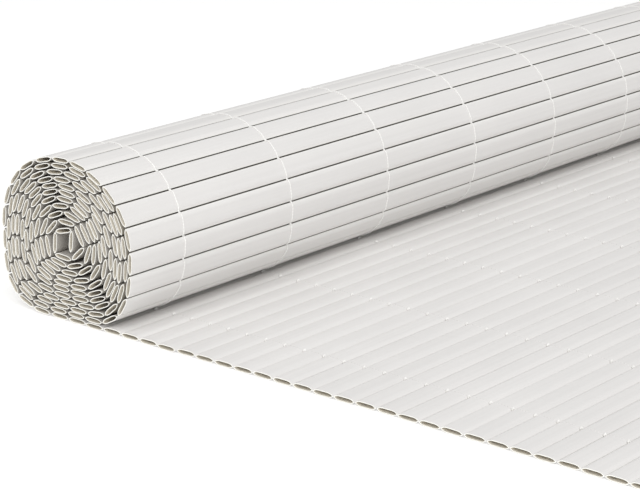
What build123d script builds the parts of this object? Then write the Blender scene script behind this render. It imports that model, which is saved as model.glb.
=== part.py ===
from build123d import *
import math
import os

# A privacy screen of hollow slats laced side by side, lying part unrolled on a floor.
# The slats run along X, the flat run reaches from the roll towards -Y, and Z is up.
# The origin is on the floor, under the middle of the whole screen.

# Slats: hollow extrusions, a flat oval in section, with a crown and two slopes on either face and blunt edges
slat_length = 1000.0
slat_width = 16.9
slat_thickness = 4.0
crown_width = 11.2
edge_thickness = 0.6
wall = 0.45
slat_gap = 1.1

# Lacing: rows of cord, each with a strand on either face of the slats
cord_rows = 8
end_margin = 58.0
cord_width = 1.2
cord_thickness = 0.3
cord_clearance = 0.05
strand_offset = 1.0

# Roll: the outline of its outer turn, where a squareness of 2 is an ellipse
roll_width = 134.5
roll_height = 126.5
top_front_squareness = 1.95
top_back_squareness = 2.25
low_front_squareness = 3.0
low_back_squareness = 3.8
layer_clearance = 0.05
roll_turns = 11

# Flat run: slats between the free edge and the foot of the roll
flat_slats = 29
roll_overhang = 1.6

pitch = slat_width + slat_gap
crown = slat_thickness / 2
strand_inside = crown + cord_clearance
strand_outside = strand_inside + cord_thickness
layer_spacing = crown + strand_outside + layer_clearance
floor_to_slat = strand_outside
steepest_corner = max(edge_thickness / slat_gap, slat_thickness / (slat_width - crown_width + slat_gap))
tightest_bend = 180.0 - 2.0 * math.degrees(math.atan(steepest_corner))
row_spacing = (slat_length - 2.0 * end_margin) / (cord_rows - 1)

# The screen is followed as a chain of hinge lines, one beside each slat, seen along the slats as (y, z).
# The last hinge line of the flat run is at y = 0.
roll_middle = (roll_overhang, roll_height / 2.0)
outline_half_width = roll_width / 2.0 - strand_outside
outline_half_height = roll_height / 2.0 - strand_outside


def inside_outline(y, z):
    """The outer turn's outline: an oval above its middle, and squarer below, where the roll has settled."""
    across = (y - roll_middle[0]) / outline_half_width
    up = (z - roll_middle[1]) / outline_half_height
    top = top_back_squareness if across > 0 else top_front_squareness
    low = low_back_squareness if across > 0 else low_front_squareness
    squareness = top if up > 0 else low
    return abs(across) ** squareness + abs(up) ** squareness <= 1.0


def along(start, heading, distance):
    """The point at a distance from a start point on a heading."""
    return (start[0] + distance * math.cos(heading), start[1] + distance * math.sin(heading))


def distance_to_run(point, start, end):
    """Distance from a point to the straight run between two hinge lines."""
    run_y = end[0] - start[0]
    run_z = end[1] - start[1]
    share = ((point[0] - start[0]) * run_y + (point[1] - start[1]) * run_z) / pitch ** 2
    share = min(1.0, max(0.0, share))
    return math.hypot(point[0] - start[0] - share * run_y, point[1] - start[1] - share * run_z)


def has_room(hinges, heading):
    """The next slat has room where it is a layer's spacing from every slat but the one it hangs on."""
    if not inside_outline(*along(hinges[-1], heading, pitch)):
        return False
    for quarter in (4, 3, 2, 1):
        point = along(hinges[-1], heading, pitch * quarter / 4.0)
        for start, end in zip(hinges[:-2], hinges[1:-1]):
            if abs(start[0] - point[0]) < pitch + layer_spacing:
                if distance_to_run(point, start, end) < layer_spacing:
                    return False
    return True


def smallest_bend(hinges, heading):
    """The least inward bend that gives the next slat room, or None where the core is full."""
    for degrees in range(int(tightest_bend) + 1):
        if has_room(hinges, heading + math.radians(degrees)):
            break
    else:
        return None
    low = max(0.0, degrees - 1.0)
    high = float(degrees)
    for halving in range(10):
        middle = (low + high) / 2.0
        if has_room(hinges, heading + math.radians(middle)):
            high = middle
        else:
            low = middle
    return math.radians(high)


def wind_screen():
    """Hinge lines and slat headings, from the free edge along the floor and round the roll to its core."""
    hinges = [(pitch * (count - flat_slats), floor_to_slat) for count in range(flat_slats + 1)]
    headings = [0.0] * flat_slats
    bend = smallest_bend(hinges, headings[-1])
    while bend is not None:
        headings.append(headings[-1] + bend)
        hinges.append(along(hinges[-1], headings[-1], pitch))
        bend = smallest_bend(hinges, headings[-1])
    return hinges, headings


def slat_profile():
    """A flat crown and a slope to each blunt edge on either face, with an even wall left round a hollow."""
    half_width = slat_width / 2.0
    half_crown = crown_width / 2.0
    half_edge = edge_thickness / 2.0
    roof = crown - wall
    lean = (half_width - half_crown) / (crown - half_edge)
    set_back = wall * math.hypot(lean, 1.0)
    hollow_crown = half_crown + wall * lean - set_back
    hollow_half = min(half_crown + crown * lean - set_back, half_width - wall)
    right = [(half_crown, -crown), (half_width, -half_edge), (half_width, half_edge), (half_crown, crown)]
    left = [(-y, -z) for y, z in right]
    hollow_right = [(hollow_crown, -roof), (hollow_half, 0.0), (hollow_crown, roof)]
    hollow_left = [(-y, -z) for y, z in hollow_right]
    return Face(Wire.make_polygon(right + left), [Wire.make_polygon(hollow_right + hollow_left)])


def make_slat():
    """One slat along X, with its width along Y and its crown up."""
    profile = Plane.YZ.offset(-slat_length / 2.0) * slat_profile()
    return extrude(profile, slat_length, dir=(1, 0, 0))


def lay_slat(slat, hinge, heading):
    """The slat moved to its place between one hinge line and the next."""
    middle = along(hinge, heading, pitch / 2.0)
    return slat.moved(Location((0, middle[0], middle[1]), (math.degrees(heading), 0, 0)))


def beside(count, last, offset):
    """A point off a hinge line, outwards, where the lines beside its two slats meet; inwards if negative."""
    before = headings[max(count - 1, 0)]
    after = headings[min(count, last - 1)]
    reach = offset / math.cos((after - before) / 2.0)
    return along(hinges[count], (before + after) / 2.0 - math.pi / 2.0, reach)


def make_strand(counts, side, x):
    """A flat strand past the counted hinge lines: side is 1 on the roll's outer face and -1 on its inner."""
    near = [beside(count, counts[-1], side * strand_inside) for count in counts]
    far = [beside(count, counts[-1], side * strand_outside) for count in counts]
    outline = make_face(Polyline(*near, *far[::-1], close=True))
    return extrude(Plane.YZ.offset(x - cord_width / 2.0) * outline, cord_width, dir=(1, 0, 0))


hinges, headings = wind_screen()
slat = make_slat()
slats = [lay_slat(slat, hinge, heading) for hinge, heading in zip(hinges, headings)]

# The rolled slats are kept in equal shares of the roll's whole bend, each about a turn, from its outside in.
pieces = {"flat_run": slats[:flat_slats]}
for heading, laid in zip(headings[flat_slats:], slats[flat_slats:]):
    turn = min(roll_turns, 1 + int(roll_turns * heading / headings[-1]))
    pieces.setdefault(f"roll_turn_{turn:02d}", []).append(laid)

# Each row has a strand under the flat run and over the outer turn, and one on top of the flat run.
# In the two end rows the top strand goes on between the turns, inside every slat, to the core.
flat_counts = [0, flat_slats]
outer_turn_end = sum(heading < 2.0 * math.pi for heading in headings)
outer_counts = list(range(flat_slats, outer_turn_end + 1))
all_counts = [0] + list(range(flat_slats, len(slats) + 1))
for row in range(cord_rows):
    x = -slat_length / 2.0 + end_margin + row * row_spacing
    top_counts = all_counts if row in (0, cord_rows - 1) else flat_counts
    pieces[f"under_cord_{row + 1:02d}"] = [make_strand(flat_counts, 1, x - strand_offset)]
    pieces[f"roll_cord_{row + 1:02d}"] = [make_strand(outer_counts, 1, x - strand_offset)]
    pieces[f"top_cord_{row + 1:02d}"] = [make_strand(top_counts, -1, x + strand_offset)]

whole = Compound([solid for group in pieces.values() for solid in group]).bounding_box()
to_origin = Location((0, -whole.center().Y, -whole.min.Z))

os.makedirs("parts", exist_ok=True)
for name, group in pieces.items():
    export_step(Compound([solid.moved(to_origin) for solid in group]), f"parts/{name}.step")

turns_wound = headings[-1] / (2.0 * math.pi)
print("slats", len(slats), "in the roll", len(slats) - flat_slats, "in turns", round(turns_wound, 1))
print("screen length", round(len(slats) * pitch), "mm")
print("size", whole.size)
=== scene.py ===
# %% [markdown]
# # A PVC privacy screen, part unrolled
# The screen is a mat of hollow plastic slats, laced side by side with thin cord, as it is tied to a balcony
# or a fence. Here it lies on a white floor, with one end rolled up. The solids give every size and place,
# and this lesson dresses them: rounded slats with real walls, twined lacing, and finishes for the plastic
# and the cord.

# %% Load the frame
import math

import bpy
import numpy as np
from mathutils import Matrix, Vector


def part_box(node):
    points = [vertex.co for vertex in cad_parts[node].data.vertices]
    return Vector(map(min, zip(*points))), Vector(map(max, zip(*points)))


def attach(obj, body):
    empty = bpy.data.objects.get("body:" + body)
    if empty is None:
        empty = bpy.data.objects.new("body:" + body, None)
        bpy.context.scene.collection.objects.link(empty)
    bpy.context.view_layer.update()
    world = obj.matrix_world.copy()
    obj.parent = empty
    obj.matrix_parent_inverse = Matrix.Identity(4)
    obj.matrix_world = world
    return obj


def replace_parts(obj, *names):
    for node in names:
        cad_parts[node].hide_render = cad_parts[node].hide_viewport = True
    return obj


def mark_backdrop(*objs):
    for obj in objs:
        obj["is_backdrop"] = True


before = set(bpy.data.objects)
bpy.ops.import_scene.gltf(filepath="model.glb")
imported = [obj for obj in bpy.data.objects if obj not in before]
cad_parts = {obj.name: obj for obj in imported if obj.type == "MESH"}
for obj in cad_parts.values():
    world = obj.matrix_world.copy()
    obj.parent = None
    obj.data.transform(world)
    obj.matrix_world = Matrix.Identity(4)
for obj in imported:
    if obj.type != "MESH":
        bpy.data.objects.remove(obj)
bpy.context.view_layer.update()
MM = 0.001
TINY = 1e-6  # a length in metres, or an angle, that is too small to matter

# %% [markdown]
# ## The camera
# The photograph was taken with a long lens, low over the near end of the roll. The eye, the point it aims at
# and the small tilt of the horizon come from matching the slat edges and the lacing rows. A constraint could
# aim the camera, but it would keep the horizon level. Blender's camera looks along its own -Z, so the three
# axes of the view are put straight into its matrix.

# %% Camera
EYE = Vector((-1.64247, -0.91015, 0.54267))
AIM = Vector((-0.22045, 0.20827, 0.0))
TILT = math.radians(0.973)
LENS_MM = 127.06
SENSOR_MM = 36.0

ahead = (AIM - EYE).normalized()
level = ahead.cross(Vector((0, 0, 1))).normalized()
right = Matrix.Rotation(-TILT, 3, ahead) @ level
camera_data = bpy.data.cameras.new("camera")
camera_data.lens = LENS_MM
camera_data.sensor_width = SENSOR_MM
camera_data.clip_start = 0.05
camera_data.clip_end = 60.0
camera = bpy.data.objects.new("camera", camera_data)
axes = Matrix((right, right.cross(ahead), -ahead)).transposed()
camera.matrix_world = Matrix.Translation(EYE) @ axes.to_4x4()
bpy.context.scene.collection.objects.link(camera)
bpy.context.scene.camera = camera
print("camera", round((AIM - EYE).length, 3), "m from its aim, right axis", [round(v, 4) for v in right])

# %% [markdown]
# ## Where each slat lies
# Each slat node holds its slats one after another, in the order in which the screen is wound, and all slats
# have as many corners. So the largest number that divides every node's count is one slat's share. The
# section is the same upside down, so its middle is half way between its limits, and its long axis is the
# main axis of its corners. The winding could be worked out again here, but reading it keeps the slats where
# the solids are.

# %% Read the slats' places from the solids
def node_corners(name):
    """A CAD node's corners as rows of (x, y, z), in metres."""
    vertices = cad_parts[name].data.vertices
    flat = np.empty(len(vertices) * 3)
    vertices.foreach_get("co", flat)
    return flat.reshape(-1, 3)


slat_nodes = sorted(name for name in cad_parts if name.startswith(("flat_run", "roll_turn")))
node_points = [node_corners(name) for name in slat_nodes]
corner_count = np.gcd.reduce([len(points) for points in node_points])
slats_in_node = [len(points) // corner_count for points in node_points]
corners = np.concatenate(node_points).reshape(-1, corner_count, 3)
slat_count = len(corners)
flat_count = slats_in_node[0]
middle = (corners.min(1) + corners.max(1))[:, 1:] / 2
slat_ends = np.stack([corners[:, :, 0].min(1), corners[:, :, 0].max(1)], 1)
print("slats", slat_count, "in nodes of", slats_in_node)

# %% The way each slat faces, and the hinge lines between them
spread = corners[:, :, 1:] - middle[:, None]
heading = 0.5 * np.arctan2(2 * (spread[..., 0] * spread[..., 1]).sum(1),
                           (spread[..., 0] ** 2 - spread[..., 1] ** 2).sum(1))
step = np.diff(middle, axis=0)
step = np.concatenate([step, step[-1:]])
heading += np.pi * ((np.cos(heading) * step[:, 0] + np.sin(heading) * step[:, 1]) < 0)
onward = np.stack([np.cos(heading), np.sin(heading)], 1)
inward = np.stack([-onward[:, 1], onward[:, 0]], 1)

pitch = np.linalg.norm(middle[1] - middle[0])
hinges = np.concatenate([middle[:1] - onward[:1] * pitch / 2, middle + onward * pitch / 2])
miss = np.linalg.norm(middle[1:] - onward[1:] * pitch / 2 - hinges[1:-1], axis=1).max()
outer_turn_end = int((np.unwrap(heading) - heading[0] < 2 * np.pi - TINY).sum())
print("pitch", round(pitch / MM, 3), "mm, and hinge lines agree within", round(miss / MM, 4), "mm")
print("the outer turn ends at slat", outer_turn_end)

# %% [markdown]
# ## One slat's section
# A slat is a hollow extrusion, a flat oval with thin walls. The solid draws it with a crown and two slopes
# on either face. Many points could make it truly round, but would be wasted on a shape that comes so often.
# So each corner is cut once, which leaves 16 points, and smooth shading rounds them. The wall is drawn a
# little thicker than it is, so that its cut end shows.

# %% Sizes of the section, from the first slat, which lies level
EXTRA_WALL = 0.15 * MM
HOLLOW_HALF_EDGE = 0.08 * MM

profile = np.abs(np.round(spread[0], 6))
half_width, crown = profile.max(0)
half_crown = profile[profile[:, 1] > crown - TINY, 0].max()
half_edge = profile[profile[:, 0] > half_width - TINY, 1].max()
wall = crown - profile[profile[:, 1] < crown - TINY, 1].max() + EXTRA_WALL

# The slope's run along for each step up, and what an even wall takes from that run
lean = (half_width - half_crown) / (crown - half_edge)
set_back = wall * math.hypot(lean, 1.0)
hollow_crown = half_crown + wall * lean - set_back
hollow_width = min(half_crown + (crown - HOLLOW_HALF_EDGE) * lean - set_back, half_width - wall)
print("wall drawn", round(wall / MM, 2), "mm, and the hollow", round(2 * hollow_width / MM, 2), "mm wide")

# %% Flat oval loops
CORNER_CUT = 1.6 * MM
SHORT_SIDE_CUT = 0.25


def flat_oval(half_width, half_edge, half_crown, crown):
    """The eight corners of a flat oval as (along, up), anticlockwise from the right edge's upper corner:
    four of the upper half, and the same four turned by 180 degrees."""
    quarter = np.array([[half_width, half_edge], [half_crown, crown]])
    upper = np.concatenate([quarter, quarter[::-1] * [-1, 1]])
    return np.concatenate([upper, -upper])


def cut_corners(outline):
    """Two points on each side of a closed outline, CORNER_CUT from its ends, or a share of a short side."""
    side = np.roll(outline, -1, axis=0) - outline
    share = np.minimum(SHORT_SIDE_CUT, CORNER_CUT / np.linalg.norm(side, axis=1))[:, None]
    return np.stack([outline + share * side, outline + (1 - share) * side], 1).reshape(-1, 2)


outer_loop = cut_corners(flat_oval(half_width, half_edge, half_crown, crown))
hollow_loop = cut_corners(flat_oval(hollow_width, HOLLOW_HALF_EDGE, hollow_crown, crown - wall))
loops = np.stack([outer_loop, hollow_loop])
LOOP = len(outer_loop)
print("section", np.round(2 * loops.max(1) / MM, 2).tolist(), "mm outside and inside, points", LOOP)

# %% [markdown]
# ## Finishes of the slats
# Rigid PVC is extruded through a steel die, which leaves it satin, with faint lines along its length. White
# screens are a little warm, and the hollow looks warmer, because light bounces many times inside. A saw
# leaves the ends paler. One material with a mask could do all three, but three on their own faces are easier
# to follow.

# %% Material helpers
def linear(code):
    """An sRGB hex colour as linear RGBA: c / 12.92 up to 0.04045, and ((c + 0.055) / 1.055) ** 2.4 above."""
    part = np.array([int(code[i:i + 2], 16) / 255 for i in (1, 3, 5)])
    part = np.where(part <= 0.04045, part / 12.92, ((part + 0.055) / 1.055) ** 2.4)
    return (*part, 1.0)


def feed(tree, node, inputs):
    """Fills a node's inputs: one given as a socket is linked, and any other is set."""
    for key, value in inputs.items():
        if isinstance(value, bpy.types.NodeSocket):
            tree.links.new(value, node.inputs[key])
        else:
            node.inputs[key].default_value = value


def add(tree, kind, inputs=None, **settings):
    """Adds one node with its settings, and fills its inputs."""
    node = tree.nodes.new("ShaderNode" + kind)
    for name, value in settings.items():
        setattr(node, name, value)
    feed(tree, node, inputs or {})
    return node


def new_material(name):
    """A material with a fresh Principled shader: returns the material, its node tree and the shader."""
    material = bpy.data.materials.new(name)
    material.use_nodes = True
    return material, material.node_tree, material.node_tree.nodes["Principled BSDF"]


# %% Extruded PVC
PVC_IOR = 1.53
NOISE_SPAN = {"From Min": 0.3, "From Max": 0.7}  # where nearly all values of a noise texture lie


def extruded_pvc():
    """Satin skin, as the die leaves it: lines along the slat, drawn 2.5 mm apart because finer ones would
    not show, a cloudy tone over 90 mm, a tone for each slat, a painted highlight that makes the edges paler,
    and painted shade, darker and warmer, on what faces the inside of the roll."""
    material, tree, shader = new_material("extruded_pvc")
    place = add(tree, "TexCoord").outputs["Object"]
    across = 1 / (2.5 * MM)
    die = add(tree, "Mapping", {"Vector": place, "Scale": (1 / (400 * MM), across, across)}).outputs[0]
    lines = add(tree, "TexNoise", {"Vector": die, "Scale": 1.0, "Detail": 2.0}).outputs["Fac"]
    cloud = add(tree, "TexNoise", {"Vector": place, "Scale": 1 / (90 * MM), "Detail": 3.0}).outputs["Fac"]
    own_tone = add(tree, "Attribute", attribute_name="tone").outputs["Fac"]
    edge = add(tree, "Attribute", attribute_name="edge").outputs["Fac"]
    inside = add(tree, "Attribute", attribute_name="inside").outputs["Fac"]

    from_lines = add(tree, "MapRange", {**NOISE_SPAN, "Value": lines, "To Max": 0.35}).outputs[0]
    from_cloud = add(tree, "MapRange", {**NOISE_SPAN, "Value": cloud, "To Max": 0.3}).outputs[0]
    mottle = add(tree, "Math", {0: from_lines, 1: from_cloud}, operation="ADD").outputs[0]
    paleness = add(tree, "Math", {0: own_tone, 1: 0.35, 2: mottle}, operation="MULTIPLY_ADD").outputs[0]
    skin = add(tree, "Mix", {"Factor": paleness, "A": linear("#E2E0DE"), "B": linear("#ECEAE8")},
               data_type="RGBA").outputs["Result"]
    # Painted highlight: the edges are mixed towards a paler white.
    edge_highlight_share = add(tree, "Math", {0: edge, 1: 0.6}, operation="MULTIPLY").outputs[0]
    with_edge_highlight = add(tree, "Mix", {"Factor": edge_highlight_share, "A": skin, "B": linear("#F5F4F0")},
               data_type="RGBA").outputs["Result"]
    # Painted shade: what faces the inside of the roll is mixed towards a darker warm grey.
    warm = add(tree, "Mix", {"Factor": inside, "A": with_edge_highlight, "B": linear("#A39D91")},
               data_type="RGBA").outputs["Result"]

    gloss = add(tree, "MapRange", {**NOISE_SPAN, "Value": cloud, "To Min": 0.36, "To Max": 0.5}).outputs[0]
    bump = add(tree, "Bump", {"Height": lines, "Strength": 0.2, "Distance": 0.08 * MM}).outputs["Normal"]
    feed(tree, shader, {"Base Color": warm, "Roughness": gloss, "IOR": PVC_IOR, "Normal": bump})
    return material


# %% Sawn and hollow PVC
def sawn_pvc():
    """Sawn ends: pale and dull, with chatter marks 1.5 mm apart."""
    material, tree, shader = new_material("sawn_pvc")
    place = add(tree, "TexCoord").outputs["Object"]
    marks = add(tree, "TexNoise", {"Vector": place, "Scale": 1 / (1.5 * MM), "Detail": 2.0}).outputs["Fac"]
    pale = add(tree, "Mix", {"Factor": marks, "A": linear("#FAF8F0"), "B": linear("#FFFEFA")},
               data_type="RGBA").outputs["Result"]
    bump = add(tree, "Bump", {"Height": marks, "Strength": 0.3, "Distance": 0.1 * MM}).outputs["Normal"]
    feed(tree, shader, {"Base Color": pale, "Roughness": 0.62, "IOR": PVC_IOR, "Normal": bump})
    return material


def hollow_pvc():
    """A slat's hollow: the same plastic, never handled, with die lines drawn 2 mm apart and the warm tint
    that light takes on between its walls."""
    material, tree, shader = new_material("hollow_pvc")
    place = add(tree, "TexCoord").outputs["Object"]
    across = 1 / (2 * MM)
    die = add(tree, "Mapping", {"Vector": place, "Scale": (1 / (400 * MM), across, across)}).outputs[0]
    lines = add(tree, "TexNoise", {"Vector": die, "Scale": 1.0, "Detail": 1.0}).outputs["Fac"]
    warm = add(tree, "Mix", {"Factor": lines, "A": linear("#E8E3D7"), "B": linear("#F0EBE1")},
               data_type="RGBA").outputs["Result"]
    feed(tree, shader, {"Base Color": warm, "Roughness": 0.5, "IOR": PVC_IOR})
    return material


slat_finishes = [extruded_pvc(), sawn_pvc(), hollow_pvc()]
print("slat finishes", [material.name for material in slat_finishes])

# %% [markdown]
# ## The slats
# Real slats are cut by a saw and laced by machine, so their ends are a little uneven and each is turned a
# little in its lacing. Each slat gets its own small turn at either end and its own cut, from a seeded random
# generator. One object could hold them all, but with one piece for each slat node, each turn of the roll can
# be picked. A weighted normal modifier lets the broad crowns lead the smooth shading, so they look flat, and
# only their rims turn.

# %% Mesh helpers
def make_piece(name, points, faces, materials, slots=None, sharp_degrees=35.0):
    """A mesh object at the origin from an array of points and one of quads, smooth up to a sharp angle."""
    mesh = bpy.data.meshes.new(name)
    mesh.from_pydata(points.reshape(-1, 3).tolist(), [], faces.tolist())
    for material in materials:
        mesh.materials.append(material)
    if slots is not None:
        mesh.polygons.foreach_set("material_index", slots.astype(np.int32))
    mesh.polygons.foreach_set("use_smooth", np.ones(len(mesh.polygons), bool))
    mesh.set_sharp_from_angle(angle=math.radians(sharp_degrees))
    mesh.update()
    piece = bpy.data.objects.new(name, mesh)
    bpy.context.scene.collection.objects.link(piece)
    return piece


def add_values(piece, name, values):
    """One number for each point of the piece, for its material to read."""
    layer = piece.data.attributes.new(name, "FLOAT", "POINT")
    layer.data.foreach_set("value", np.ascontiguousarray(values, dtype=np.float32).ravel())


def enclosed_volume(piece):
    """The volume that a piece's faces close in: the sum of a . (b x c) / 6 over its triangles, positive if
    they face out."""
    mesh = piece.data
    mesh.calc_loop_triangles()
    places = np.empty(len(mesh.vertices) * 3)
    triangles = np.empty(len(mesh.loop_triangles) * 3, np.int32)
    mesh.vertices.foreach_get("co", places)
    mesh.loop_triangles.foreach_get("vertices", triangles)
    a, b, c = places.reshape(-1, 3)[triangles.reshape(-1, 3)].transpose(1, 0, 2)
    return float((a * np.cross(b, c)).sum() / 6)


# %% Each slat's own turn, cut and tone
# Turns in degrees, of each end by itself and of the whole slat. Their t distribution lets a few stand out.
END_TURN, MOST_END_TURN = 0.35, 1.1
SLAT_TURN, MOST_SLAT_TURN = 0.3, 0.9
T_FREEDOM = 4
# In millimetres: how uneven the cuts are, and how much wider a slat of the flat run is drawn on either side,
# because there the slats are pulled together and their gaps nearly close
CUT_SPREAD, MOST_CUT = 0.4, 1.0
WIDER, WIDER_SPREAD, LEAST_WIDER, MOST_WIDER = 0.44, 0.12, 0.1, 0.53

rng = np.random.default_rng(18)
end_turn = np.clip(END_TURN * rng.standard_t(T_FREEDOM, (slat_count, 2)), -MOST_END_TURN, MOST_END_TURN)
slat_turn = np.clip(SLAT_TURN * rng.standard_t(T_FREEDOM, (slat_count, 1)), -MOST_SLAT_TURN, MOST_SLAT_TURN)
turn = np.radians(end_turn + slat_turn)
cut = np.clip(rng.normal(0, CUT_SPREAD, (slat_count, 2)), -MOST_CUT, MOST_CUT) * MM
tone = rng.random(slat_count)
wider = np.clip(rng.normal(WIDER, WIDER_SPREAD, slat_count), LEAST_WIDER, MOST_WIDER) * MM
lies_flat = np.arange(slat_count) < flat_count
stretch = 1 + np.where(lies_flat, wider, 0.0) / half_width
print("largest turn", round(np.degrees(np.abs(turn)).max(), 2), "degrees")
print("flat slats wider by", round(2 * wider[lies_flat].mean() / MM, 2), "mm on average")


# %% Slat surfaces
def slat_points(chosen):
    """Points of the chosen slats, as [slat, end, loop, point]: (x, middle + along u + up v), with u and v
    the slat's own axes, turned at that end, and along stretched on the flat run."""
    angle = heading[chosen, None] + turn[chosen]
    u = np.stack([np.cos(angle), np.sin(angle)], -1)[:, :, None, None]
    v = np.stack([-np.sin(angle), np.cos(angle)], -1)[:, :, None, None]
    along = loops[None, None, :, :, :1] * stretch[chosen][:, None, None, None, None]
    flat = middle[chosen][:, None, None, None] + along * u + loops[None, None, :, :, 1:] * v
    ends = np.broadcast_to((slat_ends + cut)[chosen][:, :, None, None, None], flat.shape[:-1] + (1,))
    return np.concatenate([ends, flat], -1)


def slat_faces(count):
    """Quads of that many slats, and their finish: 0 for the outer skin, 1 for the sawn ends and 2 for the
    hollow. Each quad joins two neighbours on one loop to the same two on another."""
    side = np.arange(LOOP)
    after = (side + 1) % LOOP
    near, near_in, far, far_in = 0, LOOP, 2 * LOOP, 3 * LOOP
    skin = np.stack([near + side, near + after, far + after, far + side], -1)
    hollow = np.stack([near_in + after, near_in + side, far_in + side, far_in + after], -1)
    rim_near = np.stack([near + after, near + side, near_in + side, near_in + after], -1)
    rim_far = np.stack([far + side, far + after, far_in + after, far_in + side], -1)
    one = np.concatenate([skin, rim_near, rim_far, hollow])
    finish = np.repeat([0, 1, 1, 2], LOOP)
    return (one[None] + 4 * LOOP * np.arange(count)[:, None, None]).reshape(-1, 4), np.tile(finish, count)


# %% Where the edges get a painted highlight, and where painted shade falls inside the roll
# Painted highlight along the slat edges: EDGE_POWER keeps it close to the edge, and the flat run gets a
# fifth of the roll's.
EDGE_POWER = 6
FLAT_EDGE_HIGHLIGHT, ROLL_EDGE_HIGHLIGHT = 0.2, 1.0
# Shares of painted shade, a darker warm grey: on what faces the inside of the roll, and on the faces under
# the first turn's gaps.
IN_ROLL_SHADE, UNDER_GAPS_SHADE = 0.6, 1.0

near_edge = (np.abs(loops[..., 0]) / half_width) ** EDGE_POWER
edge_highlight = near_edge * np.where(lies_flat, FLAT_EDGE_HIGHLIGHT, ROLL_EDGE_HIGHLIGHT)[:, None, None]
faces_in = loops[..., 1] > 0
order = np.arange(slat_count)[:, None, None]
within = order >= outer_turn_end
rolled_in = (order >= flat_count) & (faces_in | within)
# The second turn's outer faces lie under the gaps of the first, where little light reaches them, so they get
# the full painted shade.
second_turn = within & (order < outer_turn_end + slats_in_node[2])
inside_shade = np.select([second_turn & ~faces_in, rolled_in], [UNDER_GAPS_SHADE, IN_ROLL_SHADE], 0.0)
print("points inside the roll", int(rolled_in.sum()), "of", rolled_in.size)

# %% One piece for each slat node
CROWN_WEIGHT = 98

slat_pieces = []
for node, chosen in zip(slat_nodes, np.split(np.arange(slat_count), np.cumsum(slats_in_node)[:-1])):
    faces, finish = slat_faces(len(chosen))
    piece = make_piece("slats_" + node, slat_points(chosen), faces, slat_finishes, finish)
    each = (len(chosen), 2, 2, LOOP)
    add_values(piece, "tone", np.broadcast_to(tone[chosen][:, None, None, None], each))
    # The painted highlight's share along the edges, for the skin to read.
    add_values(piece, "edge", np.broadcast_to(edge_highlight[chosen][:, None], each))
    # The painted shade's share inside the roll, for the skin to read.
    add_values(piece, "inside", np.broadcast_to(inside_shade[chosen][:, None], each))
    crowns = piece.modifiers.new("flat_crowns", "WEIGHTED_NORMAL")
    crowns.keep_sharp = True
    crowns.weight = CROWN_WEIGHT
    slat_pieces.append(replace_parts(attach(piece, "root"), node))
litres = [round(enclosed_volume(piece) * 1000, 3) for piece in slat_pieces]
print("slat quads", sum(len(piece.data.polygons) for piece in slat_pieces), "litres", litres)

# %% [markdown]
# ## The lacing
# Two cords run in each row and twine: one lies over a slat while the other lies under it, and they swap in
# the gap, where they stand up as a small bead with a painted highlight. On the roll's outside the cord
# stretches over the slats and stands free, and there too it has a painted highlight. At the free edge each
# cord ends in a knot. A curve object could do this, but a line worked out from the slats keeps the cord on
# every face. The cord is twisted nylon. Its strands could be modelled, but they are so fine that a wave
# along the cord's length, as bump and painted shade, says enough.

# %% Twisted nylon
def twisted_nylon():
    """Thin twisted cord, one nylon in two painted copies: a lit copy with a painted highlight where it
    stands free, in the beads and in the knot, and a shaded copy in the slats' own tone where it is pressed
    flat. It has a soft sheen, and its twist is drawn 2.4 mm long as bump and painted shade, as a finer one
    would not show."""
    material, tree, shader = new_material("twisted_nylon")
    run = add(tree, "Attribute", attribute_name="run").outputs["Fac"]
    free = add(tree, "Attribute", attribute_name="free").outputs["Fac"]
    turns = add(tree, "Math", {0: run, 1: 2 * math.pi / (2.4 * MM)}, operation="MULTIPLY").outputs[0]
    wave = add(tree, "Math", {0: turns}, operation="SINE").outputs[0]
    # The twist's wave: the bump's height, and painted shade in its grooves.
    twist_bump_and_shade = add(tree, "MapRange", {"Value": wave, "From Min": -1.0, "From Max": 1.0}).outputs[0]
    # A shaded copy of the nylon, painted in the slats' own tone for where it is pressed flat, and a lit copy
    # painted brighter as a highlight.
    shaded_nylon = add(tree, "Mix", {"Factor": twist_bump_and_shade, "A": linear("#E4E2E0"), "B": linear("#ECEAE8")},
               data_type="RGBA").outputs["Result"]
    lit_nylon = add(tree, "Mix", {"Factor": twist_bump_and_shade, "A": linear("#F4F3F0"), "B": linear("#FFFEFC")},
                data_type="RGBA").outputs["Result"]
    # Painted light: the lit copy where the cord stands free or forms a bead, the shaded copy where it is
    # pressed.
    tint = add(tree, "Mix", {"Factor": free, "A": shaded_nylon, "B": lit_nylon}, data_type="RGBA").outputs["Result"]
    bump = add(tree, "Bump", {"Height": twist_bump_and_shade, "Strength": 0.4, "Distance": 0.1 * MM}).outputs["Normal"]
    feed(tree, shader, {"Base Color": tint, "Roughness": 0.48, "IOR": 1.53, "Normal": bump})
    return material


nylon = twisted_nylon()
print("lacing finish", nylon.name)

# %% Sizes of a cord
upper_skin = outer_loop[outer_loop[:, 1] > 0]
upper_skin = upper_skin[np.argsort(upper_skin[:, 0])]
STATIONS = np.append(upper_skin[:, 0], pitch / 2)
cord_room = hinges[0, 1] - crown
# Half width and half height, pressed flat on a slat and free over one, and the share of that half height
# by which its line is off the skin: where it is free, and on the slats' inner and outer faces
PRESSED_CORD = np.array([0.3 * MM, 0.49 * cord_room])
FREE_CORD = np.array([0.52 * MM, 0.4 * MM])
FREE_RISE, INNER_RISE, OUTER_RISE = 0.8, 0.3, 1.0
# Slats whose middle is lower than this rest on the floor, which presses their cords flat.
RESTING = 8 * MM
# A bead's half width, its half height and its lift from the hinge line, and the share of its swelling that a
# cord has at the slat's edge
FLAT_BEAD = np.array([1.45, 1.1, 1.45]) * MM
ROLL_BEAD = np.array([0.75, 0.6, -0.3]) * MM
EDGE_SWELL = 0.7
# How far a cord leans to its own side, and the knot: its rings' distance from the first slat's middle, and
# their radius
LEAN = 0.45 * MM
KNOT = np.array([[10.9, 0.3], [10.5, 0.8], [9.8, 1.0], [9.2, 0.8]]) * MM
print("room under the flat run", round(cord_room / MM, 3), "mm, cord points on each slat", len(STATIONS))


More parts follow.
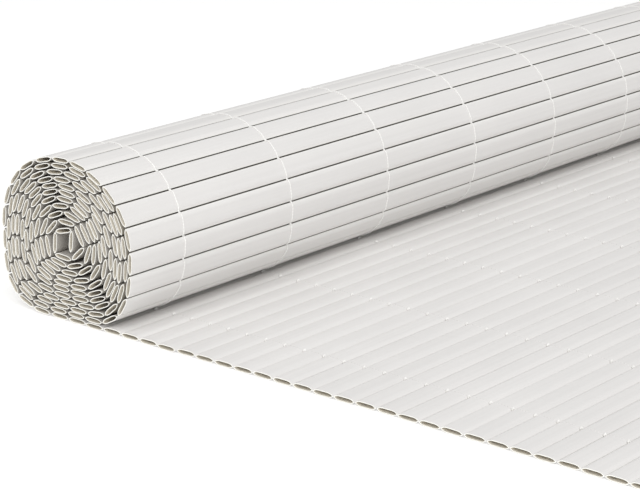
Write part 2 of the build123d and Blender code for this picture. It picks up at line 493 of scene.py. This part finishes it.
# %% The line of a cord
def cord_line(last, start_side, x):
    """A cord over the slats 0 to last - 1: its points (x, y, z), the way out from the slat there, its half
    width and half height, and its share of the painted highlight, 0 to 1, which is 1 where it stands free,
    swells to a bead or forms the knot. On a slat it lies on the skin, on a side that swaps from slat to
    slat, and leans by LEAN sin(180 degrees * place / pitch). In a gap it swells to a bead, lifted to where
    it shows. It starts with the knot."""
    slat = np.repeat(np.arange(last), len(STATIONS))
    place = np.tile(STATIONS, last)
    gap = place > half_width + TINY
    at_edge = np.abs(place) > half_width - TINY
    on_roll = slat >= flat_count
    twined = slat < outer_turn_end
    side = np.where(twined, start_side * (-1.0) ** slat, 1.0)
    shows = (side < 0) == on_roll
    free = on_roll & shows & (middle[slat, 1] > RESTING)

    size = np.where(free[:, None], FREE_CORD, PRESSED_CORD)
    rise = np.select([free, side > 0], [FREE_RISE, INNER_RISE], OUTER_RISE) * size[:, 1]
    skin = np.interp(place / stretch[slat], upper_skin[:, 0], upper_skin[:, 1])
    lift = np.where(gap, half_edge + size[:, 1], side * (skin + rise))
    swell = np.select([gap, shows & at_edge], [1.0, EDGE_SWELL], 0.0) * twined
    bead = np.where(on_roll[:, None], ROLL_BEAD, FLAT_BEAD)
    lift += swell * (bead[:, 2] - lift)
    size += swell[:, None] * (bead[:, :2] - size)

    flat = np.where(gap[:, None], hinges[slat + 1], middle[slat] + onward[slat] * place[:, None])
    flat += inward[slat] * lift[:, None]
    line = np.column_stack([x + LEAN * side * np.sin(np.pi * place / pitch), flat])
    knot = np.column_stack([np.full(len(KNOT), line[0, 0]), middle[0] - onward[0] * KNOT[:, :1]])
    slat = np.concatenate([np.zeros(len(KNOT), int), slat])
    outward = np.column_stack([np.zeros(len(slat)), -inward[slat]])
    size = np.concatenate([np.repeat(KNOT[:, 1:], 2, axis=1), size])
    # Share of the painted highlight: the knot, the free cord and the beads take the lit copy of the nylon.
    lit_share = np.concatenate([np.ones(len(KNOT)), np.maximum(free, swell)])
    return np.concatenate([knot, line]), outward, size, lit_share


# %% The surface of a cord
CORD_SIDES = 8


def cord_surface(line, outward, size):
    """A tube round a line: ring points line + half width cos(a) X + half height sin(a) N, with N the way
    out from the slat."""
    angle = np.linspace(0, 2 * np.pi, CORD_SIDES, endpoint=False)
    ring = line[:, None] + (size[:, 1:] * np.sin(angle))[..., None] * outward[:, None]
    ring[..., 0] += size[:, :1] * np.cos(angle)
    return ring


def tube_faces(rings, sides):
    """Quads of a tube of rings of points, as [ring, side, corner], with its ends open."""
    ring, side = np.meshgrid(np.arange(rings - 1) * sides, np.arange(sides), indexing="ij")
    after = (side + 1) % sides
    return np.stack([ring + side, ring + after, ring + sides + after, ring + sides + side], -1)


def cord_faces(rings):
    """Quads of a cord: its tube, and three quads that close the eight points of either end."""
    end = np.array([[0, 1, 2, 3], [0, 3, 4, 7], [4, 5, 6, 7]])
    tube = tube_faces(rings, CORD_SIDES).reshape(-1, 4)
    return np.concatenate([tube, end[:, ::-1], end + (rings - 1) * CORD_SIDES])


# %% One piece for each lacing row
FLAT_TOP = 10 * MM  # a top strand that reaches higher goes on into the roll, to its core
CORD_SHARP_DEGREES = 80.0

lacing_pieces = []
for row in sorted(name[-2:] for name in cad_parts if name.startswith("under_cord")):
    nodes = [kind + "_cord_" + row for kind in ("under", "roll", "top")]
    x = (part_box(nodes[0])[0].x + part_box(nodes[2])[1].x) / 2
    to_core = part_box(nodes[2])[1].z > FLAT_TOP
    last = slat_count if to_core else outer_turn_end
    cords = [cord_line(last, 1.0, x), cord_line(outer_turn_end, -1.0, x)]
    points = np.concatenate([cord_surface(*cord[:3]) for cord in cords])
    rings = [len(cord[0]) for cord in cords]
    faces = np.concatenate([cord_faces(rings[0]), cord_faces(rings[1]) + rings[0] * CORD_SIDES])
    piece = make_piece("lacing_row_" + row, points, faces, [nylon], sharp_degrees=CORD_SHARP_DEGREES)
    steps = [np.linalg.norm(np.diff(cord[0], axis=0, prepend=cord[0][:1]), axis=1) for cord in cords]
    add_values(piece, "run", np.repeat(np.concatenate([np.cumsum(step) for step in steps]), CORD_SIDES))
    # The painted highlight's share along each cord, for the nylon to read.
    add_values(piece, "free", np.repeat(np.concatenate([cord[3] for cord in cords]), CORD_SIDES))
    lacing_pieces.append(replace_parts(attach(piece, "root"), *nodes))
    print("lacing row", row, "cords", [round(step.sum() / MM) for step in steps], "mm long as they twine")
millilitres = [round(enclosed_volume(piece) * 1e6, 2) for piece in lacing_pieces]
print("lacing quads", sum(len(piece.data.polygons) for piece in lacing_pieces), "millilitres", millilitres)

# %% [markdown]
# ## Floor and light
# The screen lies on a white table in soft light from all sides. A wide bright sky gives the even tone, and a
# large soft lamp on the camera's side keeps the front of the roll as light as its top. A ring of lamps could
# do the same, but a white world needs no placing. The table glows faintly, so that it fades into white.

# %% Floor
WHITE = (1, 1, 1, 1)
FLOOR_SIDES = 64
FLOOR_RADII = (9.0, 2.0, 0.8, 0.02)
FLOOR_GLOW = 0.21

floor_angle = np.linspace(0, 2 * np.pi, FLOOR_SIDES, endpoint=False)
floor_ring = np.stack([np.cos(floor_angle), np.sin(floor_angle), np.zeros(FLOOR_SIDES)], 1)
floor_points = np.concatenate([floor_ring * radius for radius in FLOOR_RADII])
floor_faces = tube_faces(len(FLOOR_RADII), FLOOR_SIDES).reshape(-1, 4)
laminate, laminate_tree, laminate_shader = new_material("white_laminate")
feed(laminate_tree, laminate_shader, {"Base Color": linear("#FAFAF9"), "Roughness": 0.7, "IOR": 1.5,
                                      "Emission Color": WHITE, "Emission Strength": FLOOR_GLOW})
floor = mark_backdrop(make_piece("floor", floor_points, floor_faces, [laminate]))
print("floor", len(floor_points), "points")

# %% Light
SKY = 0.62
LAMP_SIZE = 5.2
LAMP_WATTS = 114.0
LAMP_AWAY = 4.5

world = bpy.data.worlds.new("studio")
bpy.context.scene.world = world
world.use_nodes = True
feed(world.node_tree, world.node_tree.nodes["Background"], {"Color": WHITE, "Strength": SKY})
lamp_data = bpy.data.lights.new("soft_key", "AREA")
lamp_data.shape = "DISK"
lamp_data.size = LAMP_SIZE
lamp_data.energy = LAMP_WATTS
lamp = bpy.data.objects.new("soft_key", lamp_data)
lamp_aim = Vector((0.55, 0.36, -0.8)).normalized()
lamp.location = -LAMP_AWAY * lamp_aim
lamp.rotation_euler = lamp_aim.to_track_quat("-Z", "Y").to_euler()
bpy.context.scene.collection.objects.link(lamp)
bpy.context.scene.view_settings.view_transform = "Standard"
print("light", lamp.name, lamp_data.energy, "W from", [round(v, 2) for v in lamp.location])
